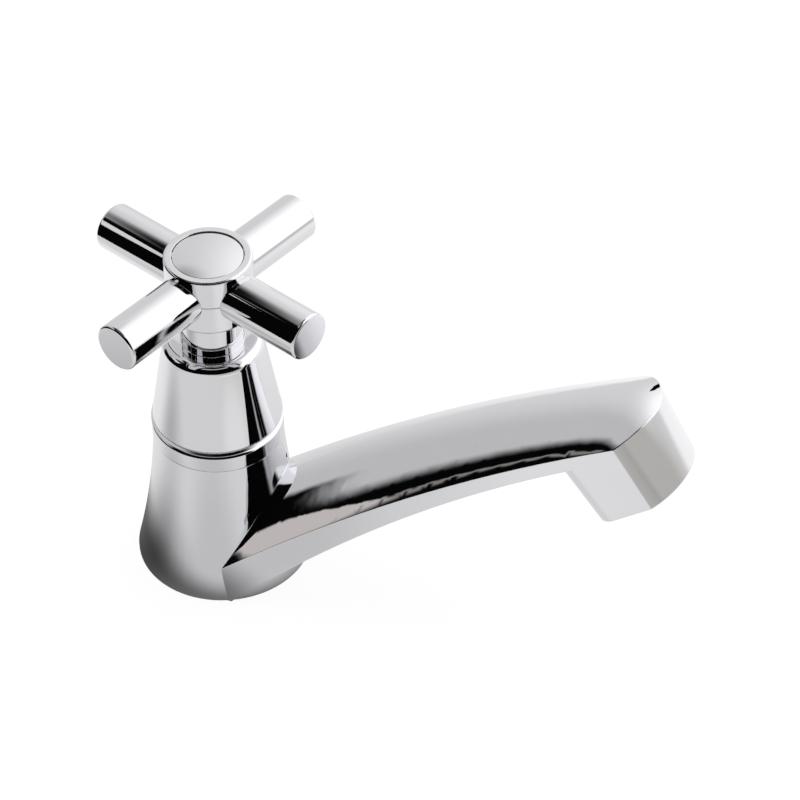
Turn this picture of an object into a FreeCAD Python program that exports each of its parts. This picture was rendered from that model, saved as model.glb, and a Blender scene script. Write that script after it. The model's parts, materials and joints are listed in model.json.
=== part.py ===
import FreeCAD, Part
import math
import os

# Cross handle tap: a pillar tap for one supply, with a long rising spout.
# Millimetres. +Z is up and is the axis on which the handle turns. The origin is at the centre of
# the base, on the deck that the tap stands on. The spout points along +X.

# Gaps
running_gap = 0.05        # radial gap of a shaft that turns in its hole
free_gap = 0.3            # gap beside a moving piece that nothing bears on
thread_gap = 0.03         # radial gap between two threads, both drawn as plain cylinders
face_gap = 0.1            # end gap of a ring that only stops its neighbour

# Flared body
base_radius = 24.6
base_edge = 0.8           # upright edge at the deck
body_height = 43.7        # deck to the joint line under the collar ring
body_top_radius = 18.0
flare_sag = 1.0           # how far the flank curves in from a straight cone
relief_depth = 10.0       # hollow under the base
relief_wall = 2.8

# Collar ring, trapped under the cartridge
collar_radius = 18.15
collar_height = 6.9
collar_round_height = 1.9
collar_web = 2.5
collar_lip_height = 3.6   # lip inside the shroud

# Shroud over the cartridge
shroud_foot_radius = 17.8
shroud_height = 26.4
shroud_shoulder_radius = 13.9
shroud_round = 2.5
shroud_wall = 1.8
rim_height = 2.6          # ring that the handle's neck turns over
rim_round = 0.2

# Spout: plan
spout_root_half = 21.6    # half width at the tap's axis, along the crease
wall_flare = 0.16         # how far a side wall leans out per millimetre of depth, at the root
spout_tip_half = 14.9     # half width at the front corners
corner_reach = 115.3      # axis to the front corners
# Spout: side view
crease_root_z = 3.6
crease_tip_z = 83.5
crease_rise = 6.2         # height of the crease over its chord at mid span
lower_root_z = -11.4
lower_tip_z = 78.9
lower_rise = 9.0
hood_root = 13.3          # height of the rounded hood over the creases
hood_tip = 5.6
hood_roll_start = 100.0   # from here the hood comes down to the nose
hood_roll_power = 4
spout_step = 8.5          # distance between the sections that the form is drawn through
# Spout: outlet block
outlet_lean = 35.0        # degrees that the outlet's axis leans out
nose_lean = 28.0          # degrees that the round nose leans out
block_front = 21.3        # front corners down to the outlet face, along the nose
block_length = 16.6       # block's rear face to the front corners, along the outlet face
nose_reach = 9.4          # front corners out to the middle of the nose
block_corner = 6.0        # upright rear corners

# Waterway
tail_seat = 9.0           # depth of the tail's thread in the base
inlet_radius = 5.5
valve_seat_z = 14.0
chamber_radius = 12.5
chamber_floor_z = 15.5
channel_half_width = 8.0
channel_root_half = 4.6    # half height
channel_tip_half = 2.4
channel_start = 11.0
channel_port_z = 20.2
throat_radius = 5.6

# Ceramic disc cartridge
pipe_thread_radius = 10.48    # half inch pipe thread
cartridge_thread = 10.0
cage_radius = 9.2
cage_wall = 0.8
cage_lift = 0.4           # cage's open end over the seat
window_width = 9.0
window_rim = 1.5          # metal over the windows
window_count = 3
hex_flats = 24.0
hex_height = 4.8
gland_radius = 7.5
gland_height = 7.0
seat_seal_height = 2.4
seat_seal_width = 2.6
disc_height = 3.0
disc_port_radius = 2.1
disc_port_offset = 4.6
washer_height = 1.0
housing_gasket_height = 0.8
housing_gasket_width = 2.4

# Spindle
spindle_radius = 4.0
spindle_foot_radius = 7.6
spindle_foot_height = 3.0
lug_inset = 1.0           # foot's rim in to the ends of its driving lugs
spindle_collar_radius = 6.4
spindle_collar_height = 2.4
spline_teeth = 20
spline_depth = 0.45
spline_length = 12.0
o_ring_section = 0.9      # diameter of the rubber cord
o_ring_spacing = 4.2
o_ring_count = 2
clip_height = 0.8
clip_groove = 0.7
clip_radius = 6.2
clip_opening = 70.0       # degrees

# Handle
hub_bottom_z = 88.0
hub_height = 17.4
hub_radius = 11.85
hub_round = 0.7
neck_radius = 8.65        # same as the rim under it
spigot_radius = 6.85      # hub's lowest part, inside the rim
arm_radius = 6.6
arm_tip = 35.3            # axis to the end of an arm
arm_count = 4
arm_rest_angle = -21.3    # degrees from the spout to the first arm, tap closed
arm_edge = 0.7
stud_radius = 3.0
stud_length = 4.6
button_radius = 9.4
button_depth = 2.4
button_dome = 0.7
button_edge = 0.25
screw_radius = 2.0
screw_length = 10.0
screw_head_radius = 3.5
screw_head_height = 2.4
screw_head_room = 0.6     # screw's head up to the button
screw_web = 2.2           # metal between the spindle and the screw's head
screw_end_room = 1.0      # screw's end to the bottom of its hole
screw_hex = 2.5
screw_hex_depth = 1.5

# Outlet
aerator_radius = 9.6
aerator_depth = 9.0
aerator_wall = 1.5
aerator_shelf = 2.2       # outlet face up to the screen
screen_height = 1.2
screen_hole_radius = 0.65
screen_rings = 3
screen_pitch = 2.2
outlet_washer_height = 1.4

# Under the deck
tail_length = 48.0
deck_space = 24.0         # deck that the nut is set for here
deck_washer_radius = 17.0
deck_washer_height = 3.0
metal_washer_height = 1.5
nut_height = 7.0
nut_flats = 27.0
nut_flange_height = 1.8
flange_edge = 1.0         # flange past the flats, and rubber washer past the metal one
gasket_inset = 1.6        # base's edge in to the gasket
gasket_width = 2.6
gasket_height = 2.0
tail_seal_height = 1.2

# Derived places
collar_top_z = body_height + collar_height
shroud_top_z = collar_top_z + shroud_height
neck_bottom_z = shroud_top_z + rim_height + free_gap
spigot_bottom_z = shroud_top_z + 2 * free_gap
web_top_z = body_height + collar_web
cage_bottom_z = valve_seat_z + cage_lift
thread_bottom_z = body_height - cartridge_thread
disc_radius = cage_radius - cage_wall - running_gap
fixed_disc_z = valve_seat_z + seat_seal_height
moving_disc_z = fixed_disc_z + disc_height
spindle_bottom_z = moving_disc_z + disc_height
hex_bottom_z = web_top_z + housing_gasket_height
hex_top_z = hex_bottom_z + hex_height
gland_top_z = hex_top_z + gland_height
ledge_z = thread_bottom_z + window_rim / 2
spindle_collar_top_z = ledge_z - washer_height
hub_top_z = hub_bottom_z + hub_height
arm_z = hub_bottom_z + hub_height / 2
button_floor_z = hub_top_z - button_depth
screw_seat_z = button_floor_z - screw_head_height - screw_head_room
spindle_top_z = screw_seat_z - screw_web
lean = math.radians(outlet_lean)
nose = math.radians(nose_lean)
gasket_outer = base_radius - gasket_inset
lug_depth = disc_height / 3
UP = FreeCAD.Vector(0, 0, 1)
NEAR = 0.01               # how close a corner has to lie to count as on a plane
NUDGE = 0.5               # how far a cutter runs past the face that it opens
PAST_ALL = 400.0          # size of a cutter that has to reach past the whole tap


def at(x, y, z):
    return FreeCAD.Vector(x, y, z)


def rod(radius, low, high):
    return Part.makeCylinder(radius, high - low, at(0, 0, low), UP)


def ring(outer, inner, low, high):
    return rod(outer, low, high).cut(rod(inner, low - NUDGE, high + NUDGE))


def corner_radius(flats):
    """Axis to a corner of a hexagon of that width across flats."""
    return flats / 2 / math.cos(math.pi / 6)


def hexagon(flats, low, high):
    corner = corner_radius(flats)
    turns = [math.radians(60 * k) for k in range(7)]
    outline = Part.makePolygon([at(corner * math.cos(a), corner * math.sin(a), low) for a in turns])
    return Part.Face(outline).extrude(at(0, 0, high - low))


def turned(edges):
    """Solid turned about Z from the edges of a closed outline in the XZ plane."""
    return Part.Face(Part.Wire(edges)).revolve(at(0, 0, 0), UP, 360)


def line(start, end):
    return Part.LineSegment(at(start[0], 0, start[1]), at(end[0], 0, end[1])).toShape()


def arc(start, middle, end):
    points = [at(p[0], 0, p[1]) for p in (start, middle, end)]
    return Part.Arc(*points).toShape()


def outline(points):
    """Straight edges from point to point in the XZ plane, open at the end."""
    return [line(a, b) for a, b in zip(points, points[1:])]


def cord_ring(radius, section, z):
    return Part.makeTorus(radius, section / 2, at(0, 0, z), UP)


# ---------------------------------------------------------------- spout form

def rising_line(s, root, tip, rise):
    """Height at the distance s from the axis of a line that arches over its chord."""
    x = s / corner_reach
    return root + (tip - root) * x + 4 * rise * x * (1 - x)


def crease_z(s):
    return rising_line(s, crease_root_z, crease_tip_z, crease_rise)


def lower_z(s):
    return rising_line(s, lower_root_z, lower_tip_z, lower_rise)


def half_width(s):
    return spout_root_half + (spout_tip_half - spout_root_half) * s / corner_reach


def across(s, z):
    """Distance along the outlet face of a place in the side view."""
    return s * math.cos(lean) + z * math.sin(lean)


def down(s, z):
    """Distance down the outlet's axis of a place in the side view."""
    return s * math.sin(lean) - z * math.cos(lean)


front_s = corner_reach + block_front * math.sin(nose)
front_z = crease_tip_z - block_front * math.cos(nose)
outlet_n = down(front_s, front_z)
block_rear_u = across(front_s, front_z) - block_length
outlet_u = block_rear_u + (block_length + nose_reach) / 2
throat_length = outlet_n - down(corner_reach, crease_tip_z)
nose_s = corner_reach + nose_reach * math.cos(nose)
hood_end = nose_s + 1.2   # where the hood's roll reaches the crease line
loft_end = front_s + nose_reach


def hood_height(s):
    """Height over the creases. Past the nose it is negative, so that the roll-off runs on."""
    full = hood_root + (hood_tip - hood_root) * s / corner_reach
    roll = max(0.0, (s - hood_roll_start) / (hood_end - hood_roll_start))
    return full * (1 - roll ** hood_roll_power)


def hood_top(s):
    return crease_z(s) + hood_height(s)


def spout_section(s):
    """Upright section: side walls up to the creases, hood arched between them.

    The walls run on in line below the lower edge, deep enough for the outlet block. They lean out
    at the root, where they meet the flared body, and stand upright at the outlet.
    """
    top = half_width(s)
    deep = crease_z(s) - lower_z(s) + 2 * block_front
    foot = top + deep * wall_flare * (1 - s / loft_end) ** 2
    left, right = at(s, -top, crease_z(s)), at(s, top, crease_z(s))
    low_left, low_right = at(s, -foot, crease_z(s) - deep), at(s, foot, crease_z(s) - deep)
    arch = Part.BezierCurve()
    arch.setPoles([right, at(s, 0, crease_z(s) + 2 * hood_height(s)), left])
    edges = [
        Part.LineSegment(low_left, low_right).toShape(),
        Part.LineSegment(low_right, right).toShape(),
        arch.toShape(),
        Part.LineSegment(left, low_left).toShape(),
    ]
    return Part.Wire(edges)


def spout_stations():
    """From behind the tap's axis to past the foot of the leaning nose."""
    start = -base_radius / 2
    count = math.ceil((loft_end - start) / spout_step)
    return [start + (loft_end - start) * k / count for k in range(count + 1)]


def spout_loft():
    return Part.makeLoft([spout_section(s) for s in spout_stations()], True, False)


def leaning(shape):
    """Turns a shape drawn along the outlet face, with Z up the outlet's axis, into place."""
    shape.rotate(at(0, 0, 0), at(0, 1, 0), -outlet_lean)
    return shape


def nose_prism():
    """Everything behind the round nose, which leans about the line between the front corners."""
    half = half_width(corner_reach)
    radius = (half ** 2 + nose_reach ** 2) / (2 * nose_reach)
    side = 0.97 * radius
    side_u = nose_reach - radius + math.sqrt(radius ** 2 - side ** 2)
    far = PAST_ALL
    points = [at(side_u, side, 0), at(-far, far, 0), at(-far, -far, 0), at(side_u, -side, 0)]
    edges = [Part.Arc(points[3], at(nose_reach, 0, 0), points[0]).toShape()]
    edges += [Part.LineSegment(a, b).toShape() for a, b in zip(points, points[1:])]
    prism = Part.Face(Part.Wire(edges)).extrude(at(0, 0, 2 * PAST_ALL))
    prism.translate(at(0, 0, -PAST_ALL))
    prism.rotate(at(0, 0, 0), at(0, 1, 0), -nose_lean)
    prism.translate(at(corner_reach, 0, crease_tip_z))
    return prism


def outlet_block():
    """Everything in front of the block's rear face and above the outlet face."""
    box = Part.makeBox(PAST_ALL, PAST_ALL, PAST_ALL, at(block_rear_u, -PAST_ALL / 2, -outlet_n))
    return leaning(box)


def above_lower_edge():
    """Everything above the spout's arched underside, which is a parabola in the side view."""
    start, end = -base_radius, nose_s + base_radius
    middle = (start + end) / 2
    bulge = 2 * lower_z(middle) - (lower_z(start) + lower_z(end)) / 2
    curve = Part.BezierCurve()
    curve.setPoles([at(start, 0, lower_z(start)), at(middle, 0, bulge), at(end, 0, lower_z(end))])
    sides = outline([(end, lower_z(end)), (end, PAST_ALL), (start, PAST_ALL), (start, lower_z(start))])
    face = Part.Face(Part.Wire([curve.toShape()] + sides))
    solid = face.extrude(at(0, PAST_ALL, 0))
    solid.translate(at(0, -PAST_ALL / 2, 0))
    return solid


def upright_corners(shape):
    """The two edges where the block's rear face meets the side walls."""
    found = []
    for edge in shape.Edges:
        ends = [v.Point for v in edge.Vertexes]
        off = max(abs(across(p.x, p.z) - block_rear_u) for p in ends)
        if off < NEAR and ends[0].y * ends[-1].y > 0:
            found.append(edge)
    return found


def spout_form():
    hood = spout_loft()
    kept = above_lower_edge().fuse(outlet_block())
    form = hood.common(nose_prism()).common(kept)
    return form.makeFillet(block_corner, upright_corners(form))


def flared_form():
    middle_z = (base_edge + body_height) / 2
    middle_radius = (base_radius + body_top_radius) / 2 - flare_sag
    foot = [(0, 0), (base_radius, 0), (base_radius, base_edge)]
    flank = arc((base_radius, base_edge), (middle_radius, middle_z), (body_top_radius, body_height))
    top = [(body_top_radius, body_height), (0, body_height), (0, 0)]
    return turned(outline(foot) + [flank] + outline(top))


# ---------------------------------------------------------------- waterway

def channel_section(s):
    share = (s - channel_start) / (corner_reach - channel_start)
    half = channel_root_half + (channel_tip_half - channel_root_half) * share
    middle = (hood_top(s) + lower_z(s)) / 2 if s > channel_start else channel_port_z
    centre = at(s, 0, middle)
    oval = Part.Ellipse(centre + at(0, channel_half_width, 0), centre + at(0, 0, half), centre)
    return Part.Wire(oval.toShape())


def spout_channel():
    steps = 6
    stretch = corner_reach - channel_start
    stations = [channel_start + stretch * k / steps for k in range(steps + 1)]
    return Part.makeLoft([channel_section(s) for s in stations], True, False)


def in_outlet(shape):
    """Takes a shape drawn up from the outlet face on the Z axis to the outlet."""
    shape.translate(at(outlet_u, 0, -outlet_n))
    return leaning(shape)


def outlet_recess():
    throat = rod(throat_radius, 0, throat_length)
    seat = rod(aerator_radius + thread_gap, -NUDGE, aerator_depth)
    return in_outlet(throat.fuse(seat))


def valve_bores():
    tail = rod(pipe_thread_radius + thread_gap, -NUDGE, tail_seat)
    inlet = rod(inlet_radius, 0, valve_seat_z + NUDGE)
    seat = rod(cage_radius + free_gap, valve_seat_z, chamber_floor_z + NUDGE)
    chamber = rod(chamber_radius, chamber_floor_z, thread_bottom_z)
    thread = rod(pipe_thread_radius + thread_gap, thread_bottom_z - NUDGE, body_height + NUDGE)
    return [tail, inlet, seat, chamber, thread]


def base_hollows():
    gasket = ring(gasket_outer, gasket_outer - gasket_width, -NUDGE, gasket_height)
    relief_outer = gasket_outer - gasket_width - relief_wall / 2
    relief = ring(relief_outer, pipe_thread_radius + relief_wall, -NUDGE, relief_depth)
    return [gasket, relief]


def tap_body():
    below_deck = Part.makeBox(PAST_ALL, PAST_ALL, PAST_ALL, at(-PAST_ALL / 2, -PAST_ALL / 2, -PAST_ALL))
    shape = flared_form().fuse(spout_form().cut(below_deck))
    for hollow in valve_bores() + base_hollows() + [spout_channel(), outlet_recess()]:
        shape = shape.cut(hollow)
    return shape.removeSplitter()


# ---------------------------------------------------------------- collar ring and shroud

def collar_ring():
    hex_bore = corner_radius(hex_flats) + free_gap
    web_bore = pipe_thread_radius + free_gap
    lip = shroud_foot_radius - shroud_wall - thread_gap
    round_z = collar_top_z - collar_round_height
    round_middle = (collar_radius - 0.29 * (collar_radius - shroud_foot_radius),
                    collar_top_z - 0.29 * collar_round_height)
    lip_top = collar_top_z + collar_lip_height
    outside = outline([(web_bore, body_height), (collar_radius, body_height), (collar_radius, round_z)])
    shoulder = arc((collar_radius, round_z), round_middle, (shroud_foot_radius, collar_top_z))
    inside = outline([(shroud_foot_radius, collar_top_z), (lip, collar_top_z), (lip, lip_top),
                      (hex_bore, lip_top), (hex_bore, web_top_z), (web_bore, web_top_z),
                      (web_bore, body_height)])
    return turned(outside + [shoulder] + inside)


def shroud():
    shoulder_z = shroud_top_z - shroud_round
    top_radius = shroud_shoulder_radius - shroud_round
    bore = spigot_radius + free_gap
    rim = neck_radius
    rim_top = shroud_top_z + rim_height
    bend = math.sqrt(0.5) * shroud_round
    foot_bore = shroud_foot_radius - shroud_wall
    lip_top = collar_top_z + collar_lip_height
    cone = outline([(shroud_foot_radius, collar_top_z), (shroud_shoulder_radius, shoulder_z)])
    shoulder = arc((shroud_shoulder_radius, shoulder_z), (top_radius + bend, shoulder_z + bend),
                   (top_radius, shroud_top_z))
    top = outline([(top_radius, shroud_top_z), (rim, shroud_top_z), (rim, rim_top - rim_round)])
    rim_bend = math.sqrt(0.5) * rim_round
    rim_edge = arc((rim, rim_top - rim_round),
                   (rim - rim_round + rim_bend, rim_top - rim_round + rim_bend), (rim - rim_round, rim_top))
    inner_top = shroud_top_z - shroud_wall
    inside = outline([(rim - rim_round, rim_top), (bore, rim_top), (bore, inner_top),
                      (shroud_shoulder_radius - shroud_wall, inner_top),
                      (foot_bore, lip_top + free_gap), (foot_bore, collar_top_z),
                      (shroud_foot_radius, collar_top_z)])
    return turned(cone + [shoulder] + top + [rim_edge] + inside)


# ---------------------------------------------------------------- cartridge

def cartridge_housing():
    cage = rod(cage_radius, cage_bottom_z, thread_bottom_z)
    thread = rod(pipe_thread_radius, thread_bottom_z, hex_bottom_z)
    nut = hexagon(hex_flats, hex_bottom_z, hex_top_z)
    gland = rod(gland_radius, hex_top_z, gland_top_z)
    shape = cage.fuse([thread, nut, gland])
    shape = shape.cut(rod(cage_radius - cage_wall, cage_bottom_z - NUDGE, ledge_z))
    shape = shape.cut(rod(spindle_radius + running_gap, ledge_z - NUDGE, gland_top_z + NUDGE))
    low, high = spindle_bottom_z + spindle_foot_height + free_gap, thread_bottom_z - window_rim
    for k in range(window_count):
        window = Part.makeBox(cage_radius + NUDGE, window_width, high - low, at(0, -window_width / 2, low))
        window.rotate(at(0, 0, 0), UP, 360 * k / window_count)
        shape = shape.cut(window)
    return shape.removeSplitter()


def housing_gasket():
    inner = pipe_thread_radius + free_gap
    return ring(inner + housing_gasket_width, inner, web_top_z, hex_bottom_z)


def seat_seal():
    outer = disc_radius - running_gap
    return ring(outer, outer - seat_seal_width, valve_seat_z, fixed_disc_z)


def ports(low, high, turn):
    """Two round water ports, or the same turned about the axis."""
    holes = [Part.makeCylinder(disc_port_radius, high - low, at(side * disc_port_offset, 0, low), UP)
             for side in (-1, 1)]
    pair = holes[0].fuse(holes[1])
    pair.rotate(at(0, 0, 0), UP, turn)
    return pair


def drive_lugs(low, high, grown):
    """Two lugs on the spindle's foot, or the slots that take them."""
    wide = spindle_radius / 2 + 2 * grown
    reach = 2 * (spindle_foot_radius - lug_inset) + 2 * grown
    bar = Part.makeBox(reach, wide, high - low, at(-reach / 2, -wide / 2, low))
    return bar.cut(rod(spindle_radius - grown, low - NUDGE, high + NUDGE))


def fixed_disc():
    disc = rod(disc_radius, fixed_disc_z, moving_disc_z)
    return disc.cut(ports(fixed_disc_z - NUDGE, moving_disc_z + NUDGE, 0))


def moving_disc():
    disc = rod(disc_radius, moving_disc_z, spindle_bottom_z)
    disc = disc.cut(ports(moving_disc_z - NUDGE, spindle_bottom_z + NUDGE, 90))
    return disc.cut(drive_lugs(spindle_bottom_z - lug_depth, spindle_bottom_z + NUDGE, face_gap))


def thrust_washer():
    outer = disc_radius - free_gap
    return ring(outer, spindle_radius + running_gap, spindle_collar_top_z, ledge_z)


def spline_prism(grown, low, high):
    """Star section of the spindle's toothed top, or of the socket that takes it."""
    points = []
    for k in range(2 * spline_teeth + 1):
        radius = spindle_radius + grown - (k % 2) * spline_depth
        turn = math.pi * k / spline_teeth
        points.append(at(radius * math.cos(turn), radius * math.sin(turn), low))
    return Part.Face(Part.makePolygon(points)).extrude(at(0, 0, high - low))


def spindle():
    spline_bottom = spindle_top_z - spline_length
    foot_top = spindle_bottom_z + spindle_foot_height
    foot = rod(spindle_foot_radius, spindle_bottom_z, foot_top)
    foot = foot.cut(ports(spindle_bottom_z - NUDGE, foot_top + NUDGE, 90))
    lugs = drive_lugs(spindle_bottom_z - lug_depth, spindle_bottom_z + NUDGE, 0)
    shaft = rod(spindle_radius, spindle_bottom_z, spline_bottom)
    collar = rod(spindle_collar_radius, spindle_collar_top_z - spindle_collar_height, spindle_collar_top_z)
    shape = foot.fuse([lugs, shaft, collar, spline_prism(0, spline_bottom, spindle_top_z)])
    for z in o_ring_heights():
        half = o_ring_section / 2 + face_gap
        shape = shape.cut(ring(spindle_radius + NUDGE, spindle_radius - o_ring_section, z - half, z + half))
    clip_z = gland_top_z + face_gap
    groove = ring(spindle_radius + NUDGE, spindle_radius - clip_groove, clip_z, clip_z + clip_height)
    shape = shape.cut(groove)
    screw_hole_z = screw_seat_z - screw_length - screw_end_room
    return shape.cut(rod(screw_radius + thread_gap, screw_hole_z, spindle_top_z + NUDGE))


def o_ring_heights():
    start = hex_bottom_z - o_ring_spacing
    return [start + o_ring_spacing * k for k in range(o_ring_count)]


def spindle_o_rings():
    radius = spindle_radius - o_ring_section / 2
    return Part.makeCompound([cord_ring(radius, o_ring_section, z) for z in o_ring_heights()])


def spindle_clip():
    low = gland_top_z + face_gap
    clip = ring(clip_radius, spindle_radius - clip_groove, low, low + clip_height)
    half = math.radians(clip_opening / 2)
    reach = 2 * clip_radius
    corners = [at(0, 0, low - NUDGE), at(reach * math.cos(half), reach * math.sin(half), low - NUDGE),
               at(reach * math.cos(half), -reach * math.sin(half), low - NUDGE), at(0, 0, low - NUDGE)]
    wedge = Part.Face(Part.makePolygon(corners)).extrude(at(0, 0, clip_height + 2 * NUDGE))
    return clip.cut(wedge)


# ---------------------------------------------------------------- handle

def arm_angles():
    return [arm_rest_angle + 360 * k / arm_count for k in range(arm_count)]


def lying_rod(radius, start, end, angle):
    """Rod at the arms' height from one distance off the axis to another."""
    shape = Part.makeCylinder(radius, end - start, at(start, 0, arm_z), at(1, 0, 0))
    shape.rotate(at(0, 0, 0), UP, angle)
    return shape


def handle_hub():
    bend = (1 - math.sqrt(0.5)) * hub_round
    side = hub_radius - hub_round
    neck = outline([(0, spigot_bottom_z), (spigot_radius, spigot_bottom_z), (spigot_radius, neck_bottom_z),
                    (neck_radius, neck_bottom_z), (neck_radius, hub_bottom_z), (side, hub_bottom_z)])
    low_edge = arc((side, hub_bottom_z), (hub_radius - bend, hub_bottom_z + bend),
                   (hub_radius, hub_bottom_z + hub_round))
    wall = outline([(hub_radius, hub_bottom_z + hub_round), (hub_radius, hub_top_z - hub_round)])
    top_edge = arc((hub_radius, hub_top_z - hub_round), (hub_radius - bend, hub_top_z - bend),
                   (side, hub_top_z))
    top = outline([(side, hub_top_z), (0, hub_top_z), (0, spigot_bottom_z)])
    shape = turned(neck + [low_edge] + wall + [top_edge] + top)
    hollows = [
        rod(button_radius + button_edge, button_floor_z, hub_top_z + NUDGE),
        rod(screw_head_radius + face_gap, screw_seat_z, button_floor_z + NUDGE),
        rod(screw_radius + face_gap, spindle_top_z - NUDGE, screw_seat_z + NUDGE),
        rod(spindle_radius + running_gap, spigot_bottom_z - NUDGE, spindle_top_z - spline_length),
        spline_prism(running_gap, spindle_top_z - spline_length - NUDGE, spindle_top_z),
    ]
    inner = hub_radius - stud_length
    hollows += [lying_rod(stud_radius + thread_gap, inner, hub_radius + NUDGE, a) for a in arm_angles()]
    return shape.cut(hollows)


def handle_arm(angle):
    bar = Part.makeCylinder(arm_radius, arm_tip, at(0, 0, arm_z), at(1, 0, 0))
    end_edges = [e for e in bar.Edges if len(e.Vertexes) == 1 and e.BoundBox.XMin > arm_tip - NEAR]
    bar = bar.makeFillet(arm_edge, end_edges)
    bar.rotate(at(0, 0, 0), UP, angle)
    bar = bar.cut(rod(hub_radius, hub_bottom_z - NUDGE, hub_top_z + NUDGE))
    stud = lying_rod(stud_radius, hub_radius - stud_length + face_gap, hub_radius + stud_radius, angle)
    return bar.fuse(stud)


def handle_screw():
    top = screw_seat_z + screw_head_height
    head = rod(screw_head_radius, screw_seat_z, top)
    shank = rod(screw_radius, screw_seat_z - screw_length, screw_seat_z + NUDGE)
    return head.fuse(shank).cut(hexagon(screw_hex, top - screw_hex_depth, top + NUDGE))


def index_button():
    edge_z = hub_top_z - button_edge
    side = outline([(0, button_floor_z), (button_radius, button_floor_z), (button_radius, edge_z)])
    crown_z = hub_top_z + button_dome
    rise = crown_z - edge_z
    radius = (button_radius ** 2 + rise ** 2) / (2 * rise)
    half = button_radius / 2
    middle = (half, crown_z - radius + math.sqrt(radius ** 2 - half ** 2))
    crown = arc((button_radius, edge_z), middle, (0, crown_z))
    return turned(side + [crown] + outline([(0, crown_z), (0, button_floor_z)]))


# ---------------------------------------------------------------- outlet

def aerator_shell():
    low_bore = aerator_radius - aerator_wall
    top = aerator_depth - outlet_washer_height
    shape = rod(aerator_radius, -face_gap, top)
    shape = shape.cut(rod(low_bore, -NUDGE, aerator_shelf + screen_height))
    return in_outlet(shape.cut(rod(low_bore - aerator_wall, 0, top + NUDGE)))


def aerator_screen():
    """Disc with rings of small holes, under the shell's shelf."""
    shape = rod(aerator_radius - aerator_wall, aerator_shelf, aerator_shelf + screen_height)
    holes = [rod(screen_hole_radius, aerator_shelf - NUDGE, aerator_shelf + screen_height + NUDGE)]
    for k in range(1, screen_rings + 1):
        for turn in range(6 * k):
            hole = holes[0].copy()
            angle = math.radians(60 * turn / k)
            reach = screen_pitch * k
            hole.translate(at(reach * math.cos(angle), reach * math.sin(angle), 0))
            holes.append(hole)
    return in_outlet(shape.cut(holes))


def outlet_washer():
    low = aerator_depth - outlet_washer_height
    return in_outlet(ring(aerator_radius, throat_radius, low, aerator_depth))


# ---------------------------------------------------------------- base and fixing

def base_gasket():
    return ring(gasket_outer, gasket_outer - gasket_width, 0, gasket_height)


def inlet_tail():
    return ring(pipe_thread_radius, inlet_radius, -tail_length, tail_seat - tail_seal_height)


def tail_seal():
    return ring(pipe_thread_radius, inlet_radius, tail_seat - tail_seal_height, tail_seat)


def deck_washer():
    top = -deck_space
    return ring(deck_washer_radius, pipe_thread_radius + free_gap, top - deck_washer_height, top)


def metal_washer():
    top = -deck_space - deck_washer_height
    outer = deck_washer_radius - flange_edge
    return ring(outer, pipe_thread_radius + free_gap, top - metal_washer_height, top)


def back_nut():
    top = -deck_space - deck_washer_height - metal_washer_height
    flange = rod(nut_flats / 2 + flange_edge, top - nut_flange_height, top)
    body = hexagon(nut_flats, top - nut_height, top - nut_flange_height)
    hole = rod(pipe_thread_radius + thread_gap, top - nut_height - NUDGE, top + NUDGE)
    return flange.fuse(body).cut(hole)


PIECES = {
    "tap_body": tap_body,
    "collar_ring": collar_ring,
    "shroud": shroud,
    "cartridge_housing": cartridge_housing,
    "housing_gasket": housing_gasket,
    "seat_seal": seat_seal,
    "fixed_disc": fixed_disc,
    "moving_disc": moving_disc,
    "thrust_washer": thrust_washer,
    "spindle": spindle,
    "spindle_o_rings": spindle_o_rings,
    "spindle_clip": spindle_clip,
    "handle_hub": handle_hub,
    "handle_screw": handle_screw,
    "index_button": index_button,
    "aerator_shell": aerator_shell,
    "aerator_screen": aerator_screen,
    "outlet_washer": outlet_washer,
    "base_gasket": base_gasket,
    "inlet_tail": inlet_tail,
    "tail_seal": tail_seal,
    "deck_washer": deck_washer,
    "metal_washer": metal_washer,
    "back_nut": back_nut,
}


def write(node, shape):
    print(node, "valid" if shape.isValid() else "NOT VALID", len(shape.Solids), "solids",
          round(shape.Volume), "mm3")
    shape.exportStep("parts/" + node + ".step")


def main():
    os.makedirs("parts", exist_ok=True)
    for node, make in PIECES.items():
        write(node, make())
    for k, angle in enumerate(arm_angles()):
        write("handle_arm_" + str(k + 1), handle_arm(angle))


main()
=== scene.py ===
# %% [markdown]
# # A chrome pillar tap with a cross handle
#
# The real tap is a brass casting, ground, polished and plated with nickel and chromium. A body and
# spout in one piece carry a collar ring and a thin shroud, and over them a hub with four
# screwed-in arms turns a ceramic disc valve. The CAD model already has those pieces at their true
# size, so this lesson keeps them. It adds what makes metal look like metal: a surface that is
# polished but not perfect, real threads, and above all a studio for the chrome to mirror.

import json
import math

import bmesh
import bpy
from mathutils import Matrix, Vector


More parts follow.
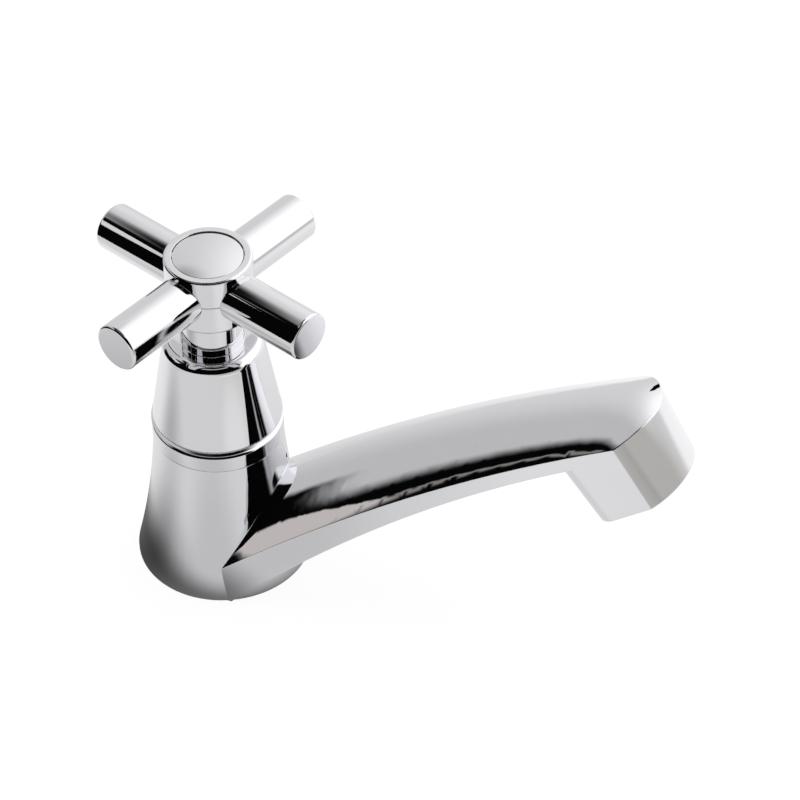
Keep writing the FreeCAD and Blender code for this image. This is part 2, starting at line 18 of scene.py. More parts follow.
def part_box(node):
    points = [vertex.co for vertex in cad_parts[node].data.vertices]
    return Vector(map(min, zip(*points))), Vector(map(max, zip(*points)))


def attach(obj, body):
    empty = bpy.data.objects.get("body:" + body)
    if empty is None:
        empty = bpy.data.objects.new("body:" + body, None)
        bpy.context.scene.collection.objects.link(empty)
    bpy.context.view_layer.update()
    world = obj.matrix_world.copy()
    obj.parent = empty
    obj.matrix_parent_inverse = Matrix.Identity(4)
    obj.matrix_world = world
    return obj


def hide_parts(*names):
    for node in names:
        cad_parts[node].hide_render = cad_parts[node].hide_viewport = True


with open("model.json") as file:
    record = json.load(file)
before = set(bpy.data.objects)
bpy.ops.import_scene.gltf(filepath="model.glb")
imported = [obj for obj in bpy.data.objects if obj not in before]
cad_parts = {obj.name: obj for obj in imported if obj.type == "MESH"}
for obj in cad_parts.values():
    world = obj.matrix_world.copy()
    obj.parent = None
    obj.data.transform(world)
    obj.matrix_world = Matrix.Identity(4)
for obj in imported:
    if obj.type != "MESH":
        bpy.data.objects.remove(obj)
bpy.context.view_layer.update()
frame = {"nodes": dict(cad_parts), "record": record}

# %% [markdown]
# ## The camera
#
# The tap is seen from its left front and from well above, through a long lens: parallel edges stay
# almost parallel. A camera could be aimed with a constraint, but a written-out rotation is exact
# and easy to check. Blender's camera looks along its own -Z, so the columns of its matrix are the
# directions of right, up and backwards.

# %% Camera
LENS_MM = 132.42
NEAREST_SEEN = 0.01
camera_place = Vector((0.24099, -0.54127, 0.60056))
camera_right = Vector((0.94585, 0.32457, -0.00396))
camera_up = Vector((-0.21791, 0.64398, 0.73335))

camera = bpy.data.objects.new("camera", bpy.data.cameras.new("camera"))
bpy.context.scene.collection.objects.link(camera)
backwards = camera_right.cross(camera_up)
turned = Matrix((camera_right, camera_up, backwards)).transposed().to_4x4()
camera.matrix_world = Matrix.Translation(camera_place) @ turned
camera.data.lens = LENS_MM
camera.data.clip_start = NEAREST_SEEN
bpy.context.scene.camera = camera
print("camera is", round(camera_place.length, 3), "m from the deck hole")

# %% [markdown]
# ## Small helpers for shader nodes
#
# Shader trees can be clicked together or written down. Written down, they repeat exactly. The
# first two helpers wire a value or another node into a socket, and add a node with its settings.

# %% Helpers for wiring
def feed(tree, socket, value):
    """Links a socket to another one, or sets it to a plain value."""
    if isinstance(value, bpy.types.NodeSocket):
        tree.links.new(value, socket)
    else:
        socket.default_value = value


def add_node(tree, kind, settings=None, **sockets):
    """Adds a node; settings are its buttons, the rest its inputs, with _ for a space."""
    node = tree.nodes.new("ShaderNode" + kind)
    for name, value in (settings or {}).items():
        setattr(node, name, value)
    for name, value in sockets.items():
        feed(tree, node.inputs[name.replace("_", " ")], value)
    return node


print("wiring helpers:", feed.__name__, add_node.__name__)

# %% [markdown]
# Sums and comparisons come up in every recipe, so each has a one-line form.

# %% Helpers for sums
def calculate(tree, operation, *values):
    """A Math node, which takes one to three values."""
    node = tree.nodes.new("ShaderNodeMath")
    node.operation = operation
    for socket, value in zip(node.inputs, values):
        feed(tree, socket, value)
    return node.outputs["Value"]


def likeness(tree, first, second):
    """How alike two directions are: 1 when they are the same, 0 when they are square."""
    node = add_node(tree, "VectorMath", {"operation": "DOT_PRODUCT"})
    feed(tree, node.inputs[0], first)
    feed(tree, node.inputs[1], second)
    return node.outputs["Value"]


print("sum helpers:", calculate.__name__, likeness.__name__)

# %% [markdown]
# Masks need soft edges. The smooth step turns a distance into such a mask, and a mask then says how
# much of two numbers or two colours to mix.

# %% Helpers for mixtures
WHITE = (1.0, 1.0, 1.0, 1.0)


def ramp(tree, value, low, high, at_low=0.0, at_high=1.0):
    """A smooth step between two values."""
    return add_node(tree, "MapRange", {"interpolation_type": "SMOOTHSTEP"}, Value=value,
                    From_Min=low, From_Max=high, To_Min=at_low, To_Max=at_high).outputs["Result"]


def mix_values(tree, share, first, second):
    """A Mix node between two numbers."""
    node = add_node(tree, "Mix", {"data_type": "FLOAT"}, Factor=share, A=first, B=second)
    return node.outputs["Result"]


def mix_colours(tree, share, first, second):
    """A Mix node between two colours."""
    node = add_node(tree, "Mix", {"data_type": "RGBA"})
    share_in, first_in, second_in = node.inputs[0], node.inputs[6], node.inputs[7]
    for socket, value in ((share_in, share), (first_in, first), (second_in, second)):
        feed(tree, socket, value)
    return node.outputs[2]


print("mixture helpers:", ramp.__name__, mix_values.__name__, mix_colours.__name__)

# %% [markdown]
# Every pattern on the tap is laid out in the piece's own coordinates, so that it stays on the
# metal when the handle turns. Three helpers give that place, take it apart and give its height.

# %% Helpers for places
def own_place(tree):
    """A point's coordinates on its own piece, in metres."""
    return add_node(tree, "TexCoord").outputs["Object"]


def split(tree, vector):
    """The X, Y and Z of a vector."""
    return add_node(tree, "SeparateXYZ", Vector=vector).outputs


def height_mm(tree):
    """Height of a point on its own piece, in millimetres."""
    return calculate(tree, "MULTIPLY", split(tree, own_place(tree))["Z"], 1000.0)


print("place helpers:", own_place.__name__, split.__name__, height_mm.__name__)

# %% [markdown]
# What several materials share is a node group with named inputs and outputs. One helper starts a
# group and the other places it in a tree with values of its own.

# %% Helpers for groups
def start_group(title, inputs, outputs):
    """A new shader group. Gives its tree, and its input and output sockets by name."""
    tree = bpy.data.node_groups.new(title, "ShaderNodeTree")
    for name, kind, value in inputs:
        socket = tree.interface.new_socket(
            name=name, in_out="INPUT", socket_type="NodeSocket" + kind)
        if value is not None:
            socket.default_value = value
    for name, kind in outputs:
        tree.interface.new_socket(name=name, in_out="OUTPUT", socket_type="NodeSocket" + kind)
    given = tree.nodes.new("NodeGroupInput").outputs
    made = tree.nodes.new("NodeGroupOutput").inputs
    return tree, given, made


def use_group(tree, group, **sockets):
    """Places a group in a tree with its own values."""
    node = tree.nodes.new("ShaderNodeGroup")
    node.node_tree = group
    for name, value in sockets.items():
        feed(tree, node.inputs[name.replace("_", " ")], value)
    return node.outputs


print("group helpers:", start_group.__name__, use_group.__name__)

# %% [markdown]
# ## Polish
#
# A polished casting isn't a perfect mirror. The polishing wheel leaves shallow waves a few
# millimetres long, which make reflected edges swim a little, and hairlines from wiping. Both could
# be a picture laid over the metal. Noise in the object's own coordinates needs no picture and has
# no seams, so the group makes a wave height and a slightly uneven roughness from it.

# %% Group: polish
WIPES_PER_METRE = (40.0, 40.0, 900.0)
WIPES_TILT = (0.5, 0.7, 0.2)
CLOUDS_PER_METRE = 70.0

polish, given, made = start_group(
    "polish",
    [("Wave length mm", "Float", 9.0), ("Roughness", "Float", 0.03), ("Unevenness", "Float", 0.02)],
    [("Height", "Float"), ("Roughness", "Float"), ("Haze", "Float")],
)
place = own_place(polish)
per_metre = calculate(polish, "DIVIDE", 1000.0, given["Wave length mm"])
waves = add_node(polish, "TexNoise", Vector=place, Scale=per_metre, Detail=1.0, Roughness=0.4)
feed(polish, made["Height"], waves.outputs["Fac"])
wipes = add_node(polish, "Mapping", Vector=place, Scale=WIPES_PER_METRE, Rotation=WIPES_TILT)
hairlines = add_node(polish, "TexNoise", Vector=wipes.outputs["Vector"], Scale=1.0, Detail=4.0)
cloud = add_node(polish, "TexNoise", Vector=place, Scale=CLOUDS_PER_METRE, Detail=3.0)
haze = calculate(polish, "MULTIPLY", hairlines.outputs["Fac"], cloud.outputs["Fac"])
feed(polish, made["Haze"], haze)
uneven = calculate(polish, "MULTIPLY", haze, given["Unevenness"])
feed(polish, made["Roughness"], calculate(polish, "ADD", given["Roughness"], uneven))
print("polish group:", len(polish.nodes), "nodes")

# %% [markdown]
# ## Worn and bright edges
#
# Edges of bare metal and moulded rubber get knocked first. The Bevel node gives the normal that a
# rounded edge would have. Where it differs from the surface's own normal there is an edge, and
# noise breaks the line up, because wear is never even.

# %% Group: edge wear
SPOTS_PER_METRE = 900.0
WEAR_GAIN = 8.0

edge_wear, given, made = start_group(
    "edge wear",
    [("Width mm", "Float", 0.3), ("Amount", "Float", 1.0)],
    [("Mask", "Float")],
)
width = calculate(edge_wear, "DIVIDE", given["Width mm"], 1000.0)
rounded = add_node(edge_wear, "Bevel", {"samples": 4}, Radius=width).outputs["Normal"]
straight = add_node(edge_wear, "NewGeometry").outputs["Normal"]
edge = calculate(edge_wear, "SUBTRACT", 1.0, likeness(edge_wear, rounded, straight))
spots = add_node(
    edge_wear, "TexNoise", Vector=own_place(edge_wear), Scale=SPOTS_PER_METRE, Detail=3.0)
gain = calculate(edge_wear, "MULTIPLY", spots.outputs["Fac"], WEAR_GAIN)
broken = calculate(edge_wear, "MULTIPLY", edge, gain)
amount = calculate(edge_wear, "MULTIPLY", broken, given["Amount"])
feed(edge_wear, made["Mask"], calculate(edge_wear, "MINIMUM", amount, 1.0))
print("edge wear group:", len(edge_wear.nodes), "nodes")

# %% [markdown]
# ## Turning marks
#
# A lathe tool leaves fine rings round the axis of what it turns. The distance from the axis and
# the height along it are the only coordinates that matter, so noise that reads just these two,
# squeezed hard, gives grooves that run right round.

# %% Group: turning marks
TONES_PER_METRE = 160.0

turning, given, made = start_group(
    "turning marks",
    [("Pitch mm", "Float", 0.15)],
    [("Height", "Float"), ("Tone", "Float")],
)
parts = split(turning, own_place(turning))
radius = calculate(turning, "SQRT", calculate(
    turning, "ADD",
    calculate(turning, "MULTIPLY", parts["X"], parts["X"]),
    calculate(turning, "MULTIPLY", parts["Y"], parts["Y"]),
))
rings = add_node(turning, "CombineXYZ", X=radius, Y=parts["Z"], Z=0.0).outputs["Vector"]
fineness = calculate(turning, "DIVIDE", 1000.0, given["Pitch mm"])
grooves = add_node(turning, "TexNoise", Vector=rings, Scale=fineness, Detail=1.0)
tones = add_node(turning, "TexNoise", Vector=rings, Scale=TONES_PER_METRE, Detail=4.0)
feed(turning, made["Height"], grooves.outputs["Fac"])
feed(turning, made["Tone"], tones.outputs["Fac"])
print("turning marks group:", len(turning.nodes), "nodes")

# %% [markdown]
# ## Moulded grain
#
# Rubber and plastic come out of a mould that was blasted with grit. The surface has a fine even
# grain and, after some time, pale bloom or dust in it. One group gives the grain's height, a
# mottle for the colour and a dust mask that is strongest on what faces up.

# %% Group: moulded grain
MOTTLE_PER_METRE = 140.0
LEAST_DUST = 0.15

grain, given, made = start_group(
    "moulded grain",
    [("Grain mm", "Float", 0.25), ("Dust", "Float", 0.3)],
    [("Height", "Float"), ("Mottle", "Float"), ("Dust mask", "Float")],
)
place = own_place(grain)
fineness = calculate(grain, "DIVIDE", 1000.0, given["Grain mm"])
grains = add_node(grain, "TexVoronoi", Vector=place, Scale=fineness)
mottle = add_node(
    grain, "TexNoise", Vector=place, Scale=MOTTLE_PER_METRE, Detail=5.0).outputs["Fac"]
upwards = split(grain, add_node(grain, "NewGeometry").outputs["Normal"])["Z"]
settled = calculate(grain, "MULTIPLY", calculate(grain, "MAXIMUM", upwards, LEAST_DUST), mottle)
feed(grain, made["Height"], grains.outputs["Distance"])
feed(grain, made["Mottle"], mottle)
feed(grain, made["Dust mask"], calculate(grain, "MULTIPLY", settled, given["Dust"]))
print("moulded grain group:", len(grain.nodes), "nodes")

# %% [markdown]
# ## Parting line
#
# The hub is cast in a mould of two halves, and where they met a hair-fine line stays in the
# plating, level with the arms. It is far too fine to model. A mask that is 1 only at that height,
# pressed in as a bump, draws it right round. Along the same mask the chrome's colour is darkened:
# that is painted shade in the groove.

# %% Group: parting line
parting, given, made = start_group(
    "parting line",
    [("Level mm", "Float", 0.0), ("Width mm", "Float", 0.2)],
    [("Line", "Float")],
)
from_line = calculate(parting, "ABSOLUTE", calculate(
    parting, "SUBTRACT", height_mm(parting), given["Level mm"]))
feed(parting, made["Line"], ramp(parting, from_line, 0.0, given["Width mm"], 1.0, 0.0))
print("parting line group:", len(parting.nodes), "nodes")

# %% [markdown]
# ## Rolled lip
#
# The collar's top edge is rolled inwards to meet the shroud. The rounding is a millimetre or two
# and is drawn as a bump: the height stays level up to the lip and then falls faster and faster, so
# the normal turns up towards the dark ceiling. That gives the black line under the shroud.

# %% Group: rolled lip
LIP_CURVE = 1.4

rolled_lip, given, made = start_group(
    "rolled lip",
    [("Low mm", "Float", 0.0), ("High mm", "Float", 1.0)],
    [("Height", "Float")],
)
risen = add_node(rolled_lip, "MapRange", Value=height_mm(rolled_lip),
                 From_Min=given["Low mm"], From_Max=given["High mm"]).outputs["Result"]
fallen = calculate(rolled_lip, "POWER", risen, LIP_CURVE)
feed(rolled_lip, made["Height"], calculate(rolled_lip, "SUBTRACT", 1.0, fallen))
print("rolled lip group:", len(rolled_lip.nodes), "nodes")

# %% [markdown]
# ## Materials
#
# Each material keeps its own Principled shader, and the groups feed it. One helper starts a
# material and gives back its tree and shader, one turns a height into a normal, one lets a mask
# vary the roughness, and one wires the colour, roughness and normal in.

# %% Helpers for materials
def start_material(title):
    """A new material with its tree and its Principled shader."""
    material = bpy.data.materials.new(title)
    material.use_nodes = True
    shader = material.node_tree.nodes["Principled BSDF"]
    return material, material.node_tree, shader


def emboss(tree, height, depth_mm, normal=None):
    """A Bump node that raises the surface by depth_mm at height 1."""
    bump = add_node(tree, "Bump", Height=height, Distance=depth_mm / 1000, Strength=1.0)
    if normal is not None:
        feed(tree, bump.inputs["Normal"], normal)
    return bump.outputs["Normal"]


def roughness_by(tree, mask, start, change):
    """A roughness that differs from start by change where the mask is 1."""
    return calculate(tree, "MULTIPLY_ADD", mask, change, start)


def surface(tree, shader, colour, roughness, normal, metallic=0.0):
    """Wires the looks of a surface into its shader."""
    feed(tree, shader.inputs["Base Color"], colour)
    feed(tree, shader.inputs["Roughness"], roughness)
    feed(tree, shader.inputs["Normal"], normal)
    shader.inputs["Metallic"].default_value = metallic


print("material helpers:", start_material.__name__, emboss.__name__, surface.__name__)

# %% [markdown]
# A shader reaches the surface through the material's output, and two shaders are mixed by a share.
# Chrome, table and cards all need both.

# %% Helpers for shaders
def wire_out(tree, shader_socket):
    """Makes a shader the material's surface."""
    tree.links.new(shader_socket, tree.nodes["Material Output"].inputs["Surface"])


def mix_shaders(tree, share, first, second):
    """A Mix Shader node between two shaders."""
    node = add_node(tree, "MixShader", Fac=share)
    tree.links.new(first, node.inputs[1])
    tree.links.new(second, node.inputs[2])
    return node.outputs["Shader"]


print("shader helpers:", wire_out.__name__, mix_shaders.__name__)

# %% [markdown]
# ### What the chrome mirrors of the tap itself
#
# In the photograph the spout shows a clean studio and not the handle above it. The upper pieces
# therefore let a mirrored ray that comes from far off pass through, and mirror only near ones. The
# distance is in the Light Path node, which has to stay in the material.

# %% Helper: pass far rays
def pass_far_rays(tree, shader, near_m, only_left_of):
    """Mirrored rays longer than near_m pass through, if need be only left of a given x."""
    path = add_node(tree, "LightPath").outputs
    far = calculate(tree, "MULTIPLY", path["Is Glossy Ray"], calculate(
        tree, "GREATER_THAN", path["Ray Length"], near_m))
    if only_left_of is not None:
        left = calculate(tree, "LESS_THAN", split(tree, own_place(tree))["X"], only_left_of)
        far = calculate(tree, "MULTIPLY", far, left)
    clear = add_node(tree, "BsdfTransparent").outputs["BSDF"]
    wire_out(tree, mix_shaders(tree, far, shader.outputs["BSDF"], clear))


print("mirror helper:", pass_far_rays.__name__)

# %% [markdown]
# ### Chrome
#
# Chromium is a slightly cool grey metal that mirrors about four fifths of the light. What shows is
# mostly the studio. The material has very low roughness with a little haze, and long shallow waves
# so that the reflections bend as they do on a buffed casting. The Bevel node eases every edge in
# the shading, more on the hand-polished casting than on the turned pieces, so that each edge
# carries its own thin bright or dark line.

# %% Chrome's recipe
CHROME_GLOSS, CHROME_UNEVEN, CHROME_WAVE_MM = 0.012, 0.05, 11.0
CLEAR_CHROME = (0.80, 0.80, 0.822, 1.0)
HAZY_CHROME = (0.76, 0.76, 0.785, 1.0)
# The first colour here is painted shade: the dark grey the chrome turns to along the parting line's
# groove.
LINE_SHADE_TONE, LINE_WIDTH_MM, LINE_DEPTH_MM = (0.25, 0.25, 0.26, 1.0), 0.22, 0.05
LIP_DEPTH = 1.2    # depth of the rolled lip as a share of its height


def mix_chrome(title, eased_mm, waves_mm, near_m, line_mm=None, only_left_of=None, lip_mm=None):
    """Polished plating. near_m is how far off the piece is still mirrored. line_mm is the height of
    a parting line, and lip_mm the two heights between which the surface rolls inwards."""
    material, tree, shader = start_material(title)
    marks = use_group(tree, polish, Wave_length_mm=CHROME_WAVE_MM, Roughness=CHROME_GLOSS,
                      Unevenness=CHROME_UNEVEN)
    colour = mix_colours(tree, marks["Haze"], CLEAR_CHROME, HAZY_CHROME)
    eased = add_node(tree, "Bevel", {"samples": 8}, Radius=eased_mm / 1000)
    normal = emboss(tree, marks["Height"], waves_mm, eased.outputs["Normal"])
    if line_mm is not None:
        line = use_group(tree, parting, Level_mm=line_mm, Width_mm=LINE_WIDTH_MM)["Line"]
        # Painted shade: the chrome's colour is darkened along the parting line's groove.
        colour = mix_colours(tree, line, colour, LINE_SHADE_TONE)
        normal = emboss(tree, calculate(tree, "SUBTRACT", 1.0, line), LINE_DEPTH_MM, normal)
    if lip_mm is not None:
        low_mm, high_mm = lip_mm
        lip = use_group(tree, rolled_lip, Low_mm=low_mm, High_mm=high_mm)["Height"]
        normal = emboss(tree, lip, (high_mm - low_mm) * LIP_DEPTH, normal)
    surface(tree, shader, colour, marks["Roughness"], normal, metallic=1.0)
    pass_far_rays(tree, shader, near_m, only_left_of)
    return material


print("chrome recipe:", mix_chrome.__name__)

# %% [markdown]
# The casting, the turned pieces, the shroud, the collar and the hub differ only in how far their
# edges are eased, how much they wave, and from how far off they are mirrored. Of the casting only
# the body, left of the spout's root, lets far rays pass, so that the spout still mirrors itself.

# %% Chrome on each piece
HUB_LINE_MM = 96.9
LIP_MM = 2.3
SPOUT_ROOT_X = 0.0195

lip_top_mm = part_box("shroud")[0][2] * 1000
cast_chrome = mix_chrome("polished chrome casting", eased_mm=0.4, waves_mm=0.004, near_m=0.006,
                         only_left_of=SPOUT_ROOT_X)
turned_chrome = mix_chrome("polished chrome", eased_mm=0.35, waves_mm=0.006, near_m=0.026)
collar_chrome = mix_chrome("polished chrome collar", eased_mm=0.35, waves_mm=0.006, near_m=0.010,
                           lip_mm=(lip_top_mm - LIP_MM, lip_top_mm))
shell_chrome = mix_chrome("polished chrome shell", eased_mm=0.35, waves_mm=0.006, near_m=0.010)
hub_chrome = mix_chrome("polished chrome hub", eased_mm=0.35, waves_mm=0.006, near_m=0.026,
                        line_mm=HUB_LINE_MM)
print("the collar's lip ends", round(lip_top_mm, 2), "mm over the deck")

# %% [markdown]
# ### Brass and stainless steel
#
# The parts inside and under the deck aren't plated. Brass is left as the lathe leaves it, with
# rings, a warm uneven tone and brighter edges. Steel is stamped or drawn and brushed. Both could
# be one plain colour, but the rings are what tells bare metal from plated, so they share a recipe.

# %% Turned metals
def turned_metal(title, pitch_mm, groove_mm, worn_mm, worn, dull, clean, bright, least, spread):
    """Bare metal with lathe rings. least and spread set its roughness."""
    material, tree, shader = start_material(title)
    rings = use_group(tree, turning, Pitch_mm=pitch_mm)
    wear = use_group(tree, edge_wear, Width_mm=worn_mm, Amount=worn)
    tone = mix_colours(tree, rings["Tone"], dull, clean)
    surface(tree, shader, mix_colours(tree, wear["Mask"], tone, bright),
            roughness_by(tree, rings["Tone"], start=least, change=spread),
            emboss(tree, rings["Height"], groove_mm), metallic=1.0)
    return material


brass = turned_metal(
    "turned brass", pitch_mm=0.22, groove_mm=0.02, worn_mm=0.35, worn=0.8,
    dull=(0.60, 0.40, 0.17, 1.0), clean=(0.80, 0.61, 0.31, 1.0), bright=(0.93, 0.78, 0.48, 1.0),
    least=0.16, spread=0.22)
steel = turned_metal(
    "brushed stainless steel", pitch_mm=0.1, groove_mm=0.01, worn_mm=0.2, worn=0.6,
    dull=(0.50, 0.50, 0.51, 1.0), clean=(0.66, 0.66, 0.67, 1.0), bright=(0.82, 0.82, 0.83, 1.0),
    least=0.2, spread=0.2)
print("bare metals:", brass.name, steel.name)

# %% [markdown]
# ### Ceramic
#
# The valve discs are ground alumina, almost white and glossy, with a speckle that shows only from
# near. The moulded grain group at its finest, without dust, gives that speckle.

# %% Ceramic
ceramic, tree, shader = start_material("ground ceramic")
speckle = use_group(tree, grain, Grain_mm=0.12, Dust=0.0)
surface(
    tree, shader,
    mix_colours(tree, speckle["Mottle"], (0.90, 0.89, 0.86, 1.0), (0.94, 0.93, 0.90, 1.0)),
    roughness_by(tree, speckle["Mottle"], start=0.08, change=0.1),
    emboss(tree, speckle["Height"], depth_mm=0.002),
)
print("discs:", ceramic.name)

# %% [markdown]
# ### Rubber
#
# Gaskets and washers are black rubber with a fine grain, grey dust on top and slightly shiny
# rubbed edges. Plain black would look like a hole, so the mottle, the dust and the shine all
# matter.

# %% Rubber
rubber, tree, shader = start_material("black rubber")
skin = use_group(tree, grain, Grain_mm=0.2, Dust=0.25)
wear = use_group(tree, edge_wear, Width_mm=0.3, Amount=0.5)
black = mix_colours(tree, skin["Mottle"], (0.018, 0.018, 0.019, 1.0), (0.045, 0.044, 0.043, 1.0))
surface(
    tree, shader,
    mix_colours(tree, skin["Dust mask"], black, (0.22, 0.21, 0.20, 1.0)),
    roughness_by(tree, wear["Mask"], start=0.68, change=-0.25),
    emboss(tree, skin["Height"], depth_mm=0.03),
)
print("seals and washers:", rubber.name)

# %% [markdown]
# ### Plastic
#
# The aerator's insert and the thrust washer are off-white acetal, a hard plastic with a soft
# gloss. It takes the same grain as the rubber, coarser and far shallower, and paler edges.

# %% Plastic
plastic, tree, shader = start_material("acetal plastic")
skin = use_group(tree, grain, Grain_mm=0.35, Dust=0.1)
wear = use_group(tree, edge_wear, Width_mm=0.2, Amount=0.4)
milky = mix_colours(tree, skin["Mottle"], (0.70, 0.70, 0.68, 1.0), (0.80, 0.80, 0.77, 1.0))
surface(
    tree, shader,
    mix_colours(tree, wear["Mask"], milky, (0.88, 0.88, 0.86, 1.0)),
    roughness_by(tree, skin["Mottle"], start=0.32, change=0.15),
    emboss(tree, skin["Height"], depth_mm=0.008),
)
print("screen and thrust washer:", plastic.name)

# %% [markdown]
# ## Dress the measured pieces
#
# The record says which slot each node takes its finish from. Assigning to the object's material
# slots changes the look and leaves the measured mesh alone.

# %% Give every node its finish
finishes = {"chrome": turned_chrome, "brass": brass, "steel": steel,
            "rubber": rubber, "plastic": plastic, "ceramic": ceramic}
special = {"tap_body": cast_chrome, "handle_hub": hub_chrome, "shroud": shell_chrome,
           "collar_ring": collar_chrome}
slot_of = {part["node"]: part["material_slot"] for part in frame["record"]["subparts"]}
for name, node in frame["nodes"].items():
    for material_slot in node.material_slots:
        material_slot.material = special.get(name, finishes[slot_of[name]])
print("dressed", len(slot_of), "nodes")

# %% [markdown]
# The valve, its seals and the handle's screw sit inside the chrome shells. Because far mirrored
# rays pass through those shells, the spout would show what is in them. So the inner pieces stay
# visible to the camera and are hidden from mirrors.

# %% Hide the inner pieces from mirrors
inner_pieces = ["cartridge_housing", "spindle", "spindle_o_rings", "spindle_clip", "thrust_washer",
                "fixed_disc", "moving_disc", "handle_screw", "housing_gasket", "seat_seal"]
for name in inner_pieces:
    frame["nodes"][name].visible_glossy = False
print("hidden from mirrors:", len(inner_pieces), "inner nodes")

# %% [markdown]
# ## The tail's pipe thread
#
# Under the deck the tail is a half inch pipe, threaded from end to end with 14 threads to the
# inch. The CAD model has a plain cylinder at the thread's outer size. A thread could be a bump
# texture, but its outline shows against the light, so it is built as a mesh: rings of points whose
# radius depends on the height along the pipe less a share of a turn for the angle. That makes a
# helix.

# %% Helper: from mesh to object
def new_piece(title, mesh):
    """An object from a finished bmesh, which is freed."""
    data = bpy.data.meshes.new(title)
    mesh.to_mesh(data)
    mesh.free()
    piece = bpy.data.objects.new(title, data)
    bpy.context.scene.collection.objects.link(piece)
    return piece


print("mesh helper:", new_piece.__name__)

# %% Threaded pipe
STEPS_ROUND, STEPS_PER_PITCH = 96, 10
FLANK_SLOPE, FLANK_FLAT = 2.4, 0.7    # how steep the flanks are, and how wide the crest is


def threaded_pipe(title, crest, root, bore, low, high, pitch, run_out):
    """A pipe along Z with an outer thread, lathed as one closed skin. Sizes in metres."""
    count = round((high - low) / pitch * STEPS_PER_PITCH)
    angles = [2 * math.pi * k / STEPS_ROUND for k in range(STEPS_ROUND)]
    mesh = bmesh.new()

    def ring(height, radius_at):
        return [mesh.verts.new((radius_at(a) * math.cos(a), radius_at(a) * math.sin(a), height))
                for a in angles]

    rings = [ring(low, lambda a: bore)]
    for k in range(count + 1):
        height = low + (high - low) * k / count
        fade = min(1.0, (height - low) / run_out, (high - height) / run_out)

        def radius_at(a, height=height, fade=fade):
            turn = (height / pitch - a / (2 * math.pi)) % 1.0
            flank = min(1.0, max(0.0, FLANK_SLOPE * abs(2 * turn - 1) - FLANK_FLAT))
            full = root + (crest - root) * (1 - flank)
            return min(full, root + (crest - root) * fade) if fade < 1 else full

        rings.append(ring(height, radius_at))
    rings.append(ring(high, lambda a: bore))
    for lower, upper in zip(rings, rings[1:] + rings[:1]):
        for k in range(STEPS_ROUND):
            j = (k + 1) % STEPS_ROUND
            mesh.faces.new((lower[k], lower[j], upper[j], upper[k]))
    bmesh.ops.recalc_face_normals(mesh, faces=mesh.faces)
    return new_piece(title, mesh)


print("pipe helper:", threaded_pipe.__name__)

# %% [markdown]
# The pipe takes its length and outer size from the CAD tail, rides on the tap's body and stands in
# for the plain cylinder.

# %% The tail's thread
PIPE_PITCH = 0.0254 / 14
THREAD_DEPTH = 0.00116
TAIL_BORE = 0.0055
THREAD_RUN_OUT = 0.0012
SHARP_DEGREES = 50

tail_low, tail_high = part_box("inlet_tail")
tail_radius = tail_high[0]
tail = threaded_pipe("inlet_tail_thread", tail_radius, tail_radius - THREAD_DEPTH, TAIL_BORE,
                     tail_low[2], tail_high[2], PIPE_PITCH, THREAD_RUN_OUT)
tail.data.materials.append(brass)
tail.data.shade_smooth()
tail.data.set_sharp_from_angle(angle=math.radians(SHARP_DEGREES))
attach(tail, "tap")
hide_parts("inlet_tail")
turns = round((tail_high[2] - tail_low[2]) / PIPE_PITCH)
print("thread:", len(tail.data.polygons), "faces,", turns, "turns")

# %% [markdown]
# ## The studio
#
# Chrome shows its surroundings, so the studio is half of the picture. The tap stood on a white
# table, with a large soft lamp on its right, pale walls behind it and on the left, and a dark room
# behind the camera and overhead. The dark room draws the black bands that make the metal look
# polished. It could be a picture wrapped round the scene. Here it is built card by card, each a
# mask worked out from the direction of the ray alone, with soft edges.

# %% Group: studio card
card, given, made = start_group(
    "studio card",
    [("Direction", "Vector", None), ("Azimuth", "Float", 0.0), ("Elevation", "Float", 0.0),
     ("Half width", "Float", 30.0), ("Half height", "Float", 20.0), ("Softness", "Float", 5.0)],
    [("Mask", "Float")],
)
aim = split(card, given["Direction"])
azimuth = calculate(card, "DEGREES", calculate(card, "ARCTAN2", aim["Y"], aim["X"]))
elevation = calculate(card, "DEGREES", calculate(card, "ARCSINE", aim["Z"]))
turned_by = calculate(card, "SUBTRACT", azimuth, given["Azimuth"])
aside = calculate(card, "ABSOLUTE", calculate(card, "WRAP", turned_by, 180.0, -180.0))
above = calculate(card, "ABSOLUTE", calculate(card, "SUBTRACT", elevation, given["Elevation"]))
masks = []
for distance, half in ((aside, given["Half width"]), (above, given["Half height"])):
    within = calculate(card, "SUBTRACT", half, distance)
    masks.append(ramp(card, calculate(card, "DIVIDE", within, given["Softness"]), -0.5, 0.5))
feed(card, made["Mask"], calculate(card, "MULTIPLY", *masks))
print("studio card group:", len(card.nodes), "nodes")

# %% [markdown]
# The lamp is round, so its mask is the angle off its middle, and its edge is very soft, as behind
# a large diffusing sheet.

# %% Group: round lamp
round_lamp, given, made = start_group(
    "round lamp",
    [("Direction", "Vector", None), ("Towards", "Vector", None), ("Radius", "Float", 30.0),
     ("Softness", "Float", 20.0)],
    [("Mask", "Float")],
)
cosine = likeness(round_lamp, given["Direction"], given["Towards"])
off_centre = calculate(round_lamp, "DEGREES", calculate(round_lamp, "ARCCOSINE", cosine))
within = calculate(round_lamp, "SUBTRACT", given["Radius"], off_centre)
feed(round_lamp, made["Mask"], ramp(
    round_lamp, calculate(round_lamp, "DIVIDE", within, given["Softness"]), -0.5, 0.5))
print("round lamp group:", len(round_lamp.nodes), "nodes")

# %% [markdown]
# The studio's plan: the level of the walls, the lamp's place and four cards. Written as a table, it
# can be tuned against the real tap without touching a node.

